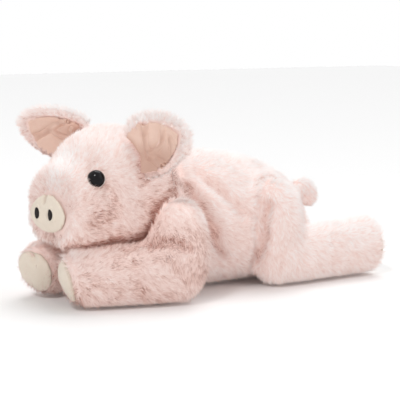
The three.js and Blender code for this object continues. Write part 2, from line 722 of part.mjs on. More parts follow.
// The origin is the middle of the ground that the pig covers.
const bounds = new THREE.Box3().setFromObject(pig);
const middleOfGround = bounds.getCenter(new THREE.Vector3()).setZ(0);
pig.position.sub(middleOfGround);

export default pig;
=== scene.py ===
"""The looks of a plush pig that lies on its belly: stuffed forms under a short pink pile, cream soles
and snout, peach ear linings and glossy eyes. Metres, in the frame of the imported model: the snout points
toward -X, the pig's left side is -Y and the floor is z = 0."""

import json
import math

import bpy
import numpy as np
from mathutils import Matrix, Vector, kdtree, noise
from mathutils.bvhtree import BVHTree

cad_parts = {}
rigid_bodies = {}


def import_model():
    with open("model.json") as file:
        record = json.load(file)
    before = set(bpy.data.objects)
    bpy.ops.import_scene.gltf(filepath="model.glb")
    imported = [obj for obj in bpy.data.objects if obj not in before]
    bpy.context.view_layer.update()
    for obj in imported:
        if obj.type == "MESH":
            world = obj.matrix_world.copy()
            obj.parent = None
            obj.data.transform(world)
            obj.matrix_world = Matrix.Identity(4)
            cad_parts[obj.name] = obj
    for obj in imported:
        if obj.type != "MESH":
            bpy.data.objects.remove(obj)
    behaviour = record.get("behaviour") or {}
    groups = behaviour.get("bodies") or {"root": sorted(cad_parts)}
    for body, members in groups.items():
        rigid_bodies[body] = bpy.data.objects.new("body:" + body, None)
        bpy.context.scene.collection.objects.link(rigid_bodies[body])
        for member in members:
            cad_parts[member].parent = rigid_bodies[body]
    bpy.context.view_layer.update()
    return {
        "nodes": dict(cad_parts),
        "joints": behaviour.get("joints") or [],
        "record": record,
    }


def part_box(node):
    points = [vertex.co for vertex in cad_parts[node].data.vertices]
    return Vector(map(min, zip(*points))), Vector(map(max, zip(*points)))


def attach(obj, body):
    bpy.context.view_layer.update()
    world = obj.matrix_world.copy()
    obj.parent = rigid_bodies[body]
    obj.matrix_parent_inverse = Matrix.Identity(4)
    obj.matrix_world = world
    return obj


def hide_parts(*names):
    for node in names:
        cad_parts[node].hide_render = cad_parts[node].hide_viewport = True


MM = 0.001
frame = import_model()
nodes = frame["nodes"]
hinges = {hinge["name"]: hinge for hinge in frame["joints"]}
rng = np.random.default_rng(7)

# Colours
# The pile's ramp: its pink, with painted shade toward the dark end and painted light toward the white end
PILE_SHADE_DARK = (0.32, 0.14, 0.11)
PILE_DEEP = (0.62, 0.36, 0.30)
PILE_ROSE = (0.86, 0.635, 0.575)
PILE_PINK = (0.96, 0.795, 0.745)
PILE_PALE = (0.98, 0.875, 0.845)
PILE_LIT_WHITE = (0.99, 0.95, 0.935)
# Rosier roots: partly the cloth's own colour, partly painted shade deep in the pile
PILE_ROOT = (0.93, 0.73, 0.68)
VELOUR_CREAM = (0.87, 0.78, 0.67)
VELOUR_DEEP = (0.76, 0.65, 0.54)
# Painted shade where the velour tucks in
VELOUR_SHADE = (0.42, 0.27, 0.20)
LINING_PEACH = (0.90, 0.69, 0.59)
LINING_DEEP = (0.78, 0.52, 0.42)
# Painted shade in the lining's pleats and cup and beside the head
LINING_SHADE = (0.50, 0.27, 0.20)
BACKING_PINK = (0.93, 0.74, 0.69)
BACKING_DEEP = (0.86, 0.63, 0.57)
NOSTRIL_BLACK = (0.03, 0.022, 0.022)
THREAD_PINK = (0.85, 0.65, 0.6)
EYE_BLACK = (0.004, 0.003, 0.004)
WASHER_WHITE = (0.8, 0.8, 0.77)

# The camera, fitted to the photo
CAMERA_LENS = 116.1
CAMERA_SENSOR = 36
CAMERA_SHIFT = (-0.005, 0.0175)
CAMERA_AZIMUTH = math.radians(-36)
CAMERA_RISE = math.radians(8)
CAMERA_TARGET = (2.74 * MM, 4.25 * MM, 60 * MM)
LAMP_TARGET = (0, 0, 60 * MM)

# The stuffed skins. They lie below the CAD covers by the pile's depth, or less where a neighbour is close.
SKIN_VOXEL = 3.2 * MM
PILE_DEPTH = 2.4 * MM
CLOSE_DEPTH = 0.7 * MM
CLOTH_PRESSURE = 4
CLOTH_FRAMES = 20
MOST_SWELLING = 1.6 * MM
SECOND_PRESS = 0.35

# The pile, by kind of form. A piece of it stays under 200,000 triangles, at three to a hair.
HAIRS = {"body": 110000, "head": 112000, "leg": 53500, "tail": 9500, "ear": 40500}
HAIR_LENGTH = {"body": 4.8 * MM, "head": 3.9 * MM, "leg": 4.4 * MM, "tail": 3.6 * MM, "ear": 5 * MM}
HAIRS_IN_A_PIECE = 66000
HAIR_WIDTH = 0.31 * MM
ROOT_DEPTH = 0.4 * MM
ROUNDNESS = 0.7
LEAN_SHARE = 0.8
LOCK_SPACING = 1.9 * MM
EAR_LOCK_SPACING = 1.5 * MM
LOCK_GATHER = 0.32
SWIRL_SCALE = 48
FINE_SWIRL_SCALE = 140
TINT_SCALE = 70

# Where a hair lies in its map
MAP_ROOT = 0.03
MAP_TIP = 0.97
MAP_HALF_WIDTH = 0.004

# Tones, painted shade and light, run from 0, dark shade deep in a fold, to 1, the whitest lit tips
MIDDLE_TONE = 0.52
SIDE_PAINTED_SHADE = -0.1
TOP_PAINTED_LIGHT = 0.42
BELLY_PAINTED_LIGHT = 0.12
REAR_PAINTED_LIGHT = 0.1

# Painted shade in corners: corners are found by rays that start above the pile and turn by the golden angle
CORNER_RAYS = 16
CORNER_TURN = 2.4
CORNER_START = 3.2 * MM
CORNER_REACH = 30 * MM
CORNER_SHADE = 0.45

# Small pieces. The eyes are sunk below their CAD nodes' tops, for the fur lies round them.
EYE_RADIUS = 6.3 * MM
EYE_DOME = 4.7 * MM
EYE_SUNK = {"left": 0.9 * MM, "right": 1.9 * MM}
NOSTRIL_HALF_WIDTH = 3.1 * MM
NOSTRIL_HALF_HEIGHT = 3.9 * MM
NOSTRIL_STITCHES = 12
NOSTRIL_SHIFT_MM = {"left": 0.1, "right": -0.7}
DENT_HALF_WIDTH = 3.3 * MM
DENT_HALF_HEIGHT = 4.0 * MM
SEAM_RADIUS = 32.9 * MM
SEAM_THREAD = 0.55 * MM

# Folds, as lines along the skin in millimetres. Those of the pig's left side are mirrored on its right.
SHOULDER_FOLD = [(-33, -33, 83), (-32, -38, 73), (-27, -41, 61), (-21, -42, 49), (-16, -40, 39),
                 (-6, -36, 26)]
FLANK_FOLD = [(-23, -23, 94), (-19, -30, 88), (-12, -36, 81), (-4, -41, 73), (2, -42, 67), (8, -43, 58)]
HAUNCH_FOLD = [(25, -49, 66), (22, -49, 55), (21, -49, 43), (21, -45, 32), (21, -35, 21)]
HAUNCH_FRONT = [(17, -46, 65), (14, -45, 55), (13, -45, 44), (13, -38, 30)]
KNEE_FOLD = [(29, -54, 23), (33, -59, 30), (43, -61, 34)]
ANKLE_FOLD = [(85, -54, 38), (85, -58, 32), (86, -59, 19), (88, -54, 5)]
HEEL_FOLD = [(99, -54, 38), (99, -58, 31), (101, -59, 17), (103, -54, 5)]
FOREARM_SEAM = [(-94, -52, 36), (-95, -55, 30), (-95, -56, 20), (-92, -51, 8)]
FOREARM_TOP = [(-130, -41, 42), (-112, -50, 45), (-95, -57, 46), (-78, -66, 44)]
FOREARM_CREASE = [(-93, -39, 46), (-83, -39, 47), (-78, -51, 48), (-73, -62, 48), (-66, -67, 45),
                  (-60, -70, 42)]
CHEEK_FOLD = [(-108, -37, 86), (-105, -39, 79), (-102, -39, 71), (-100, -37, 63)]
JOWL_FOLD = [(-117, -37, 75), (-114, -37, 67), (-112, -35, 59)]
BROW_FOLD = [(-117, -23, 99), (-114, -23, 103), (-110, -25, 106)]
CHIN_FOLD = [(-135, -1, 52), (-134, 1, 48), (-132, 3, 44)]
NEAR_PUFF = [(-132, -26, 64), (-132, -21, 56), (-132, -12, 49)]
FAR_PUFF = [(-133, 22, 58), (-133, 14, 51)]
NOSE_FOLD = [(-136, 9, 83), (-136, 5, 84), (-135, 0, 84)]
NOSE_BRIDGE = [(-120, 0, 103), (-127, -3, 97), (-133, -4, 91)]
SNOUT_PINCH = [(-137, 1, 83), (-138, 0, 79), (-139, -1, 76)]
SOLE_PINCH = [(-137, 24, 38), (-136, 23, 34), (-135, 22, 31)]
LEFT_EAR_PLEATS = [
    [(-81, -42, 133), (-80, -40, 123), (-79, -41, 114), (-79, -46, 109)],
    [(-79, -46, 109), (-79, -54, 106), (-79, -65, 103)],
    [(-75, -57, 128), (-76, -54, 117), (-79, -47, 110)],
    [(-74, -63, 121), (-75, -68, 114)],
]
RIGHT_EAR_PLEATS = [
    [(-115, 61, 115), (-108, 54, 119), (-103, 43, 126), (-101, 32, 129)],
    [(-102, 48, 121), (-99, 46, 118), (-95, 43, 117)],
    [(-100, 29, 130), (-95, 30, 126), (-94, 36, 122)],
]


# Selecting, measuring and finishing

def select_only(*objects):
    """Nothing else stays selected, and the last one named is active."""
    bpy.ops.object.select_all(action="DESELECT")
    for piece in objects:
        piece.select_set(True)
    bpy.context.view_layer.objects.active = objects[-1]


def apply_modifiers(piece):
    """The piece's modifiers go into its mesh, and it stays selected."""
    select_only(piece)
    for modifier in list(piece.modifiers):
        bpy.ops.object.modifier_apply(modifier=modifier.name)


def apply_placing(piece):
    """The piece's place, turn and scale go into its mesh, which is shaded smooth."""
    select_only(piece)
    bpy.ops.object.transform_apply(location=True, rotation=True, scale=True)
    bpy.ops.object.shade_smooth()


def add_ball(segments, rings, scale, place=(0, 0, 0)):
    """A ball of radius 1, scaled."""
    bpy.ops.mesh.primitive_uv_sphere_add(segments=segments, ring_count=rings, radius=1, location=place)
    ball = bpy.context.active_object
    ball.scale = scale
    return ball


def points_of(piece):
    places = np.zeros(len(piece.data.vertices) * 3, np.float32)
    piece.data.vertices.foreach_get("co", places)
    return places.reshape(-1, 3).astype(float)


def normals_of(piece):
    directions = np.zeros(len(piece.data.vertices) * 3, np.float32)
    piece.data.vertex_normals.foreach_get("vector", directions)
    return directions.reshape(-1, 3).astype(float)


def move_points(piece, places):
    piece.data.vertices.foreach_set("co", places.astype(np.float32).ravel())
    piece.data.update()


def unit(vectors):
    return vectors / np.maximum(np.linalg.norm(vectors, axis=-1, keepdims=True), 1e-12)


def ramp(values, low, high):
    """From 0 to 1 between two values, with soft ends."""
    t = np.clip((values - low) / (high - low), 0, 1)
    return t * t * (3 - 2 * t)


def finish_piece(piece, name, material, body, slot, *replaced):
    """The name, material and body of a finished piece, and the nodes that it stands for. slot is not used.
    """
    piece.name = name
    piece.data.name = name
    piece.data.materials.clear()
    piece.data.materials.append(material)
    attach(piece, body)
    if replaced:
        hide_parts(*replaced)


# Skins

def copy_of(node):
    """A copy of a CAD node that is free to be changed."""
    copy = nodes[node].copy()
    copy.data = nodes[node].data.copy()
    for key in list(copy.keys()):
        del copy[key]
    copy.parent = None
    copy.data.materials.clear()
    bpy.context.scene.collection.objects.link(copy)
    return copy


def keep_largest(piece):
    """Only the outer skin stays of a mesh that also has skins inside."""
    select_only(piece)
    before = set(bpy.data.objects)
    bpy.ops.object.mode_set(mode="EDIT")
    bpy.ops.mesh.select_all(action="SELECT")
    bpy.ops.mesh.separate(type="LOOSE")
    bpy.ops.object.mode_set(mode="OBJECT")
    parts = [piece] + [other for other in bpy.data.objects if other not in before]
    parts.sort(key=lambda part: Vector(np.ptp(points_of(part), axis=0)).length, reverse=True)
    for extra in parts[1:]:
        bpy.data.objects.remove(extra)
    return parts[0]


def skin_over(parts, voxel, smoothing):
    """The outer skin of CAD nodes, merged and rounded."""
    copies = [copy_of(node) for node in parts]
    select_only(*copies)
    bpy.ops.object.join()
    piece = bpy.context.view_layer.objects.active
    bpy.ops.object.mode_set(mode="EDIT")
    bpy.ops.mesh.select_all(action="SELECT")
    bpy.ops.mesh.remove_doubles(threshold=0.01 * MM)
    bpy.ops.object.mode_set(mode="OBJECT")
    remesh = piece.modifiers.new("remesh", "REMESH")
    remesh.mode = "VOXEL"
    remesh.voxel_size = voxel
    apply_modifiers(piece)
    piece = keep_largest(piece)
    smooth = piece.modifiers.new("smooth", "SMOOTH")
    smooth.factor = 0.5
    smooth.iterations = smoothing
    apply_modifiers(piece)
    return piece


def subdivide(piece):
    surface = piece.modifiers.new("subdivide", "SUBSURF")
    surface.levels = 1
    surface.render_levels = 1
    apply_modifiers(piece)
    bpy.ops.object.shade_smooth()


def thin_skin(parts, voxel, smoothing, inset):
    """The fine skin of a thin form, set in from its CAD nodes."""
    skin = skin_over(parts, voxel, smoothing)
    move_points(skin, points_of(skin) - normals_of(skin) * inset * MM)
    subdivide(skin)
    return skin


def tree_over(names):
    """One search tree over several CAD nodes."""
    places, corners = [], []
    for node in names:
        mesh = nodes[node].data
        corners += [tuple(len(places) + corner for corner in polygon.vertices)
                    for polygon in mesh.polygons]
        places += [vertex.co.copy() for vertex in mesh.vertices]
    return BVHTree.FromPolygons(places, corners)


def distances_to(tree, places):
    return np.array([tree.find_nearest(Vector(place))[3] for place in places])


def distances_to_line(places, line):
    """How far each place is from a line through points in millimetres."""
    line = np.array(line) * MM
    nearest = np.full(len(places), 1.0)
    for a, b in zip(line[:-1], line[1:]):
        along = b - a
        share = np.clip((places - a) @ along / (along @ along), 0, 1)
        nearest = np.minimum(nearest, np.linalg.norm(places - a - share[:, None] * along, axis=1))
    return nearest


def near_line(places, line, width):
    """1 on a line, falling to 0 over about its width."""
    return np.exp(-(distances_to_line(places, line) / width) ** 2)


def mirrored(line):
    """The same line on the pig's other side."""
    middle = 2 * hinges["tail_wag"]["pos_m"][1] / MM
    return [(x, middle - y, z) for x, y, z in line]


def onto(piece, line, sunk=0.0):
    """A line's points set on a piece's skin, or sunk below it, in millimetres."""
    mesh = piece.data
    tree = BVHTree.FromPolygons([vertex.co.copy() for vertex in mesh.vertices],
                                [tuple(polygon.vertices) for polygon in mesh.polygons])
    found = [tree.find_nearest(Vector(point) * MM) for point in line]
    return [tuple((place - sunk * normal) / MM) for place, normal, _, _ in found]


def press_folds(piece, folds, share=1.0):
    """Each fold is a line, a depth, a width and how much shade is painted on the pile in it, or light where
    that is negative. The skin is drawn in along the line, or puffed out where the depth is negative. The
    folds come back with their lines at the bottom."""
    places, directions = points_of(piece), normals_of(piece)
    sunk = []
    for line, depth, width, painted_shade in folds:
        pressed = share * depth * near_line(places, onto(piece, line), width)
        places = places - directions * pressed[:, None]
        sunk.append((onto(piece, line, share * depth), depth, width, painted_shade))
    move_points(piece, places)
    return sunk


def shade_tucks(piece, shares):
    """Painted shade: the velour's paint is darker where a share is near 1."""
    layer = piece.data.attributes.new("tucked", "FLOAT", "POINT")
    layer.data.foreach_set("value", np.clip(shares, 0, 1).astype(np.float32))


def fill_out(piece, folds):
    """The filling swells the cloth between its folds, in a short simulation under pressure."""
    before = points_of(piece)
    sewn = piece.vertex_groups.new(name="sewn")
    held = np.zeros(len(before))
    for line, _, width, _ in folds:
        held = np.maximum(held, near_line(before, onto(piece, line), width))
    held = np.maximum(held, 1 - ramp(before[:, 2], 1 * MM, 5 * MM))
    for index in np.nonzero(held > 0.1)[0]:
        sewn.add([int(index)], float(held[index]), "REPLACE")
    cloth = piece.modifiers.new("cloth", "CLOTH")
    cloth.settings.use_pressure = True
    cloth.settings.uniform_pressure_force = CLOTH_PRESSURE
    cloth.settings.effector_weights.gravity = 0
    cloth.settings.vertex_group_mass = "sewn"
    cloth.point_cache.frame_start = 1
    cloth.point_cache.frame_end = CLOTH_FRAMES
    for step in range(1, CLOTH_FRAMES + 1):
        bpy.context.scene.frame_set(step)
    swollen = piece.evaluated_get(bpy.context.evaluated_depsgraph_get())
    after = points_of(swollen)
    bpy.context.scene.frame_set(1)
    piece.modifiers.remove(cloth)
    moved = after - before
    far = np.linalg.norm(moved, axis=1, keepdims=True)
    after = before + moved * np.minimum(1, MOST_SWELLING / np.maximum(far, 1e-9))
    after[:, 2] = np.maximum(after[:, 2], 0.3 * MM)
    move_points(piece, after)


class Coat:
    """What the pile needs to know at each point of a skin: its length, its tone, which carries painted
    light and shade, the way that it lies, where it faces, and how far its shading turns upward."""

    def __init__(self, piece, flow, upward=0.35):
        self.piece = piece
        self.upward = upward
        self.places = points_of(piece)
        self.normals = normals_of(piece)
        self.facing = self.normals.copy()
        self.flow = unit(flow(self.places, self.normals))
        self.length = ramp(self.places[:, 2], -1 * MM, 7 * MM)
        # Painted light on top, under the belly and toward the rear; painted shade on the sides
        rise = self.normals[:, 2]
        self.tone = TOP_PAINTED_LIGHT * ramp(rise, -0.5, 1) + BELLY_PAINTED_LIGHT * ramp(-rise, 0, 0.8) + SIDE_PAINTED_SHADE
        self.tone += REAR_PAINTED_LIGHT * ramp(self.places[:, 0], -60 * MM, 60 * MM)

    def shade_folds(self, folds, length):
        """Painted shade: rosier and shorter where the hairs reach a fold, a quarter or three quarters along
        them, and painted light where the shade is negative.
        """
        for line, _, width, painted_shade in folds:
            line = onto(self.piece, line)
            near = np.maximum(near_line(self.places + 0.25 * length * self.flow, line, width),
                              near_line(self.places + 0.75 * length * self.flow, line, width))
            self.tone -= painted_shade * near
            self.length *= 1 - min(1, 2 * max(painted_shade, 0)) * 0.7 * near ** 2

    def keep_clear(self, tree, low, high, share, painted_shade):
        """Painted shade, rosier where something else is near, and its length taken toward a share, which
        may be over 1.
        """
        near = 1 - ramp(distances_to(tree, self.places), low, high)
        self.length *= 1 - (1 - share) * near
        self.tone -= painted_shade * near * (1 - 0.4 * ramp(self.normals[:, 2], 0.1, 0.8))

    def shade_corners(self, tree):
        """Painted shade: rosier where other forms close the skin in, as told by rays sent out from it."""
        start = self.places + CORNER_START * self.normals
        side = unit(np.cross(self.normals, np.array([0.3, 0.5, 0.8])))
        other = np.cross(self.normals, side)
        closed = np.zeros(len(start))
        for number in range(CORNER_RAYS):
            rise = math.sqrt((number + 0.5) / CORNER_RAYS)
            turn = CORNER_TURN * number
            flat = math.sqrt(1 - rise * rise)
            rays = flat * (math.cos(turn) * side + math.sin(turn) * other) + rise * self.normals
            for index in range(len(start)):
                far = tree.ray_cast(Vector(start[index]), Vector(rays[index]), CORNER_REACH)[3]
                if far is not None:
                    closed[index] += (1 - far / CORNER_REACH) / CORNER_RAYS
        self.tone -= CORNER_SHADE * closed
        self.facing = unit(self.facing + 2 * closed[:, None] * np.array([0, 0, 1]))

    def bridge(self, tree, reach):
        """Close to a neighbour, the pile is lit as if the two were one skin."""
        _, facing, share = self.nearest(tree, reach)
        self.facing = unit(self.facing + 0.9 * share * facing)

    def lean_over(self, tree, reach):
        """Within its reach of an edge, the pile leans over it."""
        places, _, share = self.nearest(tree, reach)
        toward = unit(places - self.places)
        self.flow = unit(self.flow * (1 - share) + toward * share)

    def nearest(self, tree, reach):
        """The nearest places of a tree, the way that they face, and a share that is 1 close to them."""
        found = [tree.find_nearest(Vector(place)) for place in self.places]
        places, facing = (np.array([tuple(one[which]) for one in found]) for which in (0, 1))
        share = 1 - ramp(np.array([one[3] for one in found]), 0.3 * reach, reach)
        return places, facing, share[:, None]


# The pile

def scattered_over(coat, count):
    """Random places on a skin, spread over its area, fewer where the pile is short, with what the coat says
    there."""
    mesh = coat.piece.data
    mesh.calc_loop_triangles()
    corners = np.zeros(len(mesh.loop_triangles) * 3, np.int32)
    mesh.loop_triangles.foreach_get("vertices", corners)
    corners = corners.reshape(-1, 3)
    a, b, c = (coat.places[corners[:, corner]] for corner in range(3))
    area = np.linalg.norm(np.cross(b - a, c - a), axis=1) / 2 * coat.length[corners].mean(axis=1) ** 0.5
    picked = corners[rng.choice(len(corners), size=count, p=area / area.sum())]
    u = np.sqrt(rng.random(count))[:, None]
    v = rng.random(count)[:, None]
    weights = np.concatenate([1 - u, u * (1 - v), u * v], axis=1)

    def read(values):
        if values.ndim == 1:
            return (values[picked] * weights).sum(axis=1)
        return (values[picked] * weights[:, :, None]).sum(axis=1)

    return (read(coat.places), unit(read(coat.normals)), unit(read(coat.facing)), read(coat.flow),
            read(coat.length), read(coat.tone))


def along_skin(direction, normal):
    """The part of a direction that lies along the skin."""
    return unit(direction - (direction * normal).sum(axis=1, keepdims=True) * normal)


def make_locks(root, normal, flow, count):
    """Locks: neighbouring hairs that lean together. Each has a place, a lean, a lift and a tint, and the
    tree finds the lock that is nearest to a hair."""
    chosen = rng.choice(len(root), size=min(count, len(root)), replace=False)
    place, normal = root[chosen], normal[chosen]
    lean = along_skin(flow[chosen], normal)
    side = np.cross(normal, lean)
    swirl = np.array([noise.noise(Vector(point * SWIRL_SCALE))
                      + 0.6 * noise.noise(Vector(point * FINE_SWIRL_SCALE + 9)) for point in place])
    angle = (swirl + rng.normal(0, 0.25, len(place)))[:, None]
    lean = lean * np.cos(angle) + side * np.sin(angle)
    lift = np.clip(1 + rng.normal(0, 0.15, len(place)), 0.5, 1.5)[:, None]
    # The lock's tint: a random tone that also stands in as painted shade and light between locks
    tint = np.array([noise.noise(Vector(point * TINT_SCALE + 31)) for point in place]) * 0.12
    tint += rng.normal(0, 0.075, len(place))
    tree = kdtree.KDTree(len(place))
    for index, point in enumerate(place):
        tree.insert(point, index)
    tree.balance()
    return place, lean, lift, tint, tree


def hair_mesh(name, root, tip, radius, shading, tint):
    """Hairs as slim three-sided spikes, shaded half round and half as the skin below them. Their map holds
    the tint, with its painted light and shade, across and the way from root to tip upward, and each hair's
    strip of it has some width."""
    count = len(root)
    along = unit(tip - root)
    side = unit(np.cross(along, unit(rng.normal(0, 1, (count, 3)))))
    other = np.cross(along, side)
    third = 2 * math.pi / 3
    spokes = [math.cos(turn) * side + math.sin(turn) * other for turn in (0, third, 2 * third)]
    places = np.stack([*(root + radius * spoke for spoke in spokes), tip], axis=1).reshape(-1, 3)
    first = np.arange(count) * 4
    faces = np.stack([first, first + 1, first + 3, first + 1, first + 2, first + 3,
                      first + 2, first, first + 3], axis=1).reshape(-1, 3)
    mesh = bpy.data.meshes.new(name)
    mesh.vertices.add(len(places))
    mesh.vertices.foreach_set("co", places.astype(np.float32).ravel())
    mesh.loops.add(len(faces) * 3)
    mesh.loops.foreach_set("vertex_index", faces.astype(np.int32).ravel())
    mesh.polygons.add(len(faces))
    mesh.polygons.foreach_set("loop_start", (np.arange(len(faces)) * 3).astype(np.int32))
    mesh.polygons.foreach_set("use_smooth", np.ones(len(faces), bool))
    mesh.update()
    column = np.clip(tint, 0.02, 0.98)
    u = np.stack([column - MAP_HALF_WIDTH, column, column + MAP_HALF_WIDTH, column], axis=1).reshape(-1)
    v = np.tile([MAP_ROOT, MAP_ROOT, MAP_ROOT + 0.01, MAP_TIP], count)
    layer = mesh.uv_layers.new(name="OFBake")
    flat = faces.ravel()
    layer.uv.foreach_set("vector", np.stack([u[flat], v[flat]], axis=1).astype(np.float32).ravel())
    corners = []
    for number in range(3):
        near, far = spokes[number], spokes[(number + 1) % 3]
        corners += [shading + ROUNDNESS * out for out in (near, far, unit(near + far))]
    normals = unit(np.stack(corners, axis=1).reshape(-1, 3))
    mesh.normals_split_custom_set(normals.astype(np.float32))
    piece = bpy.data.objects.new(name, mesh)
    bpy.context.scene.collection.objects.link(piece)
    return piece


def grow_pile(coat, kind, name, body, lift_share=0.5, spacing=LOCK_SPACING):
    """A pile of leaning hairs in locks over a skin, in as many pieces as its hairs need. It casts no shadow
    and lights no other piece, because its own shadows would make it look dirty."""
    scattered = scattered_over(coat, HAIRS[kind])
    kept = scattered[4] > 0.1
    root, normal, facing, flow, share, tone = (values[kept] for values in scattered)
    area = sum(polygon.area for polygon in coat.piece.data.polygons)
    place, lean, lift, tint, tree = make_locks(root, facing, flow, int(area / spacing ** 2))
    found = [tree.find(Vector(point)) for point in root]
    own = np.array([one[1] for one in found])
    far = np.array([one[2] for one in found])[:, None]
    long = HAIR_LENGTH[kind] * share[:, None] * np.clip(rng.normal(1, 0.18, len(root)), 0.5, 1.5)[:, None]
    long = long * np.clip(1.08 - 0.12 * far / spacing, 0.7, 1.1)
    own_lean = unit(along_skin(lean[own], facing) + rng.normal(0, 0.2, (len(root), 3)))
    gather = (place[own] + lean[own] * long * 0.5 - root) * LOCK_GATHER
    tip = root + long * (lift_share * lift[own] * facing + LEAN_SHARE * own_lean) + gather * share[:, None]
    tip[:, 2] = np.maximum(tip[:, 2], 0.2 * MM)
    radius = HAIR_WIDTH * np.clip(rng.normal(1, 0.2, len(root)), 0.5, 1.6)[:, None] / 2
    upward = np.array([0, 0, 1]) * (coat.upward + 0.5 * np.maximum(-facing[:, 2:], 0))
    shading = unit(facing + 0.25 * own_lean + upward + rng.normal(0, 0.1, (len(root), 3)))
    # Painted shade at the edges of locks, on top of the tone's painted light and shade and the lock's tint
    edge = np.clip(far[:, 0] / spacing - 0.25, 0, 0.5)
    colour = MIDDLE_TONE + tone + tint[own] - 0.45 * edge + rng.normal(0, 0.07, len(root))
    pieces = math.ceil(len(root) / HAIRS_IN_A_PIECE)
    for number in range(pieces):
        part = slice(number, None, pieces)
        hair = hair_mesh("hair", root[part] - ROOT_DEPTH * normal[part], tip[part], radius[part],
                         shading[part], colour[part])
        finish_piece(hair, f"{name}_{number + 1}", pile, body, "plush")
        hair.visible_shadow = False
        hair.visible_diffuse = False


# Materials

class Wire:
    """A socket's value, with the sums that add their own nodes."""

    def __init__(self, paint, socket):
        self.paint = paint
        self.socket = socket

    def sum(self, operation, other):
        return self.paint.node("ShaderNodeMath", {"operation": operation}, {0: self, 1: other})

    def __add__(self, other):
        return self.sum("ADD", other)

    def __mul__(self, other):
        return self.sum("MULTIPLY", other)


class Paint:
    """A material under way, with one Principled shader."""

    def __init__(self, name, **values):
        self.material = bpy.data.materials.new(name)
        self.material.use_nodes = True
        self.tree = self.material.node_tree
        self.tree.nodes.clear()
        self.shader = self.tree.nodes.new("ShaderNodeBsdfPrincipled")
        output = self.tree.nodes.new("ShaderNodeOutputMaterial")
        self.tree.links.new(self.shader.outputs["BSDF"], output.inputs["Surface"])
        self.set(**values)

    def feed(self, socket, value):
        if isinstance(value, Wire):
            self.tree.links.new(value.socket, socket)
        elif isinstance(value, tuple) and len(value) == 3 and socket.type == "RGBA":
            socket.default_value = (*value, 1)
        else:
            socket.default_value = value

    def node(self, kind, settings=None, values=None, output=0):
        """A node of a type, its settings set first, then the values or links of its sockets."""
        made = self.tree.nodes.new(kind)
        for key, value in (settings or {}).items():
            if key == "stops":
                elements = made.color_ramp.elements
                while len(elements) < len(value):
                    elements.new(0.5)
                for element, (place, colour) in zip(elements, value):
                    element.position = place
                    element.color = (*colour, 1)
            else:
                setattr(made, key, value)
        for key, value in (values or {}).items():
            self.feed(made.inputs[key], value)
        return Wire(self, made.outputs[output])

    def mix(self, share, first, second):
        """A colour between two, by a share. The mix node's sockets 6, 7 and 2 are its colours."""
        return self.node("ShaderNodeMix", {"data_type": "RGBA"}, {0: share, 6: first, 7: second}, output=2)

    def noise(self, scale, detail=2.0):
        return self.node("ShaderNodeTexNoise", values={
            "Vector": self.node("ShaderNodeTexCoord", output="Object"), "Scale": scale, "Detail": detail})

    def set(self, **values):
        for key, value in values.items():
            self.feed(self.shader.inputs[key.replace("_", " ")], value)

    def bump(self, height, strength, distance):
        self.set(Normal=self.node("ShaderNodeBump", values={
            "Height": height, "Strength": strength, "Distance": distance}))


def pile_paint():
    """Pink hairs, rosier at the root, partly as painted shade deep in the pile. Their tone, painted light
    and shade, runs from dark rose in the folds to near white on top.
    """
    paint = Paint("plush_pile", Roughness=0.9, Specular_IOR_Level=0.0)
    layer = paint.node("ShaderNodeUVMap", {"uv_map": "OFBake"})
    tint = paint.node("ShaderNodeSeparateXYZ", values={0: layer}, output="X")
    along = paint.node("ShaderNodeSeparateXYZ", values={0: layer}, output="Y")
    tips = paint.node("ShaderNodeValToRGB", {"stops": [
        (0.0, PILE_SHADE_DARK), (0.13, PILE_DEEP), (0.3, PILE_ROSE), (0.55, PILE_PINK), (0.8, PILE_PALE),
        (1.0, PILE_LIT_WHITE)]},
        {0: tint})
    low = paint.mix(tint, PILE_DEEP, PILE_ROOT)
    paint.set(Base_Color=paint.mix(paint.node("ShaderNodeMapRange", values={
        "Value": along, "From Min": 0.0, "From Max": 0.5}), low, tips))
    return paint.material


def backing_paint():
    """The cloth under the pile."""
    paint = Paint("plush_backing", Roughness=0.95, Specular_IOR_Level=0.1)
    paint.set(Base_Color=paint.mix(paint.noise(260), BACKING_DEEP, BACKING_PINK))
    paint.bump(paint.noise(900, 3), 0.5, 0.6 * MM)
    return paint.material


def velour_paint(name, colour, deep, shaded):
    """Short velour: a fine nap, darker in the strokes where it was brushed, with painted shade where it
    tucks in."""
    paint = Paint(name, Roughness=0.85, Specular_IOR_Level=0.2, Sheen_Weight=0.2, Sheen_Roughness=0.4)
    brushed = paint.noise(95, 3) * 0.7 + paint.noise(600, 2) * 0.3
    tucked = paint.node("ShaderNodeAttribute", {"attribute_name": "tucked"}, output="Fac")
    paint.set(Base_Color=paint.mix(tucked, paint.mix(brushed, deep, colour), shaded))
    paint.bump(paint.noise(2600, 2), 0.4, 0.25 * MM)
    return paint.material


def eye_paint():
    """Polished black with a few faint scuffs in its gloss."""
    paint = Paint("eye_gloss", Base_Color=EYE_BLACK, Specular_IOR_Level=0.2)
    paint.set(Roughness=paint.noise(300, 3) * 0.05 + 0.02)
    return paint.material


def thread_paint(name, colour):
    """Sewing thread: fine slanted strands."""
    paint = Paint(name, Roughness=0.7, Specular_IOR_Level=0.3)
    strands = paint.node("ShaderNodeTexWave", {"bands_direction": "DIAGONAL"}, {
        "Vector": paint.node("ShaderNodeTexCoord", output="Object"), "Scale": 900.0, "Distortion": 1.0},
        output="Fac")
    paint.set(Base_Color=paint.mix(strands, tuple(0.6 * part for part in colour), colour))
    paint.bump(strands, 0.5, 0.2 * MM)
    return paint.material


def washer_paint():
    paint = Paint("moulded_white", Base_Color=WASHER_WHITE)
    paint.set(Roughness=paint.noise(500, 2) * 0.2 + 0.35)
    return paint.material


# Scene

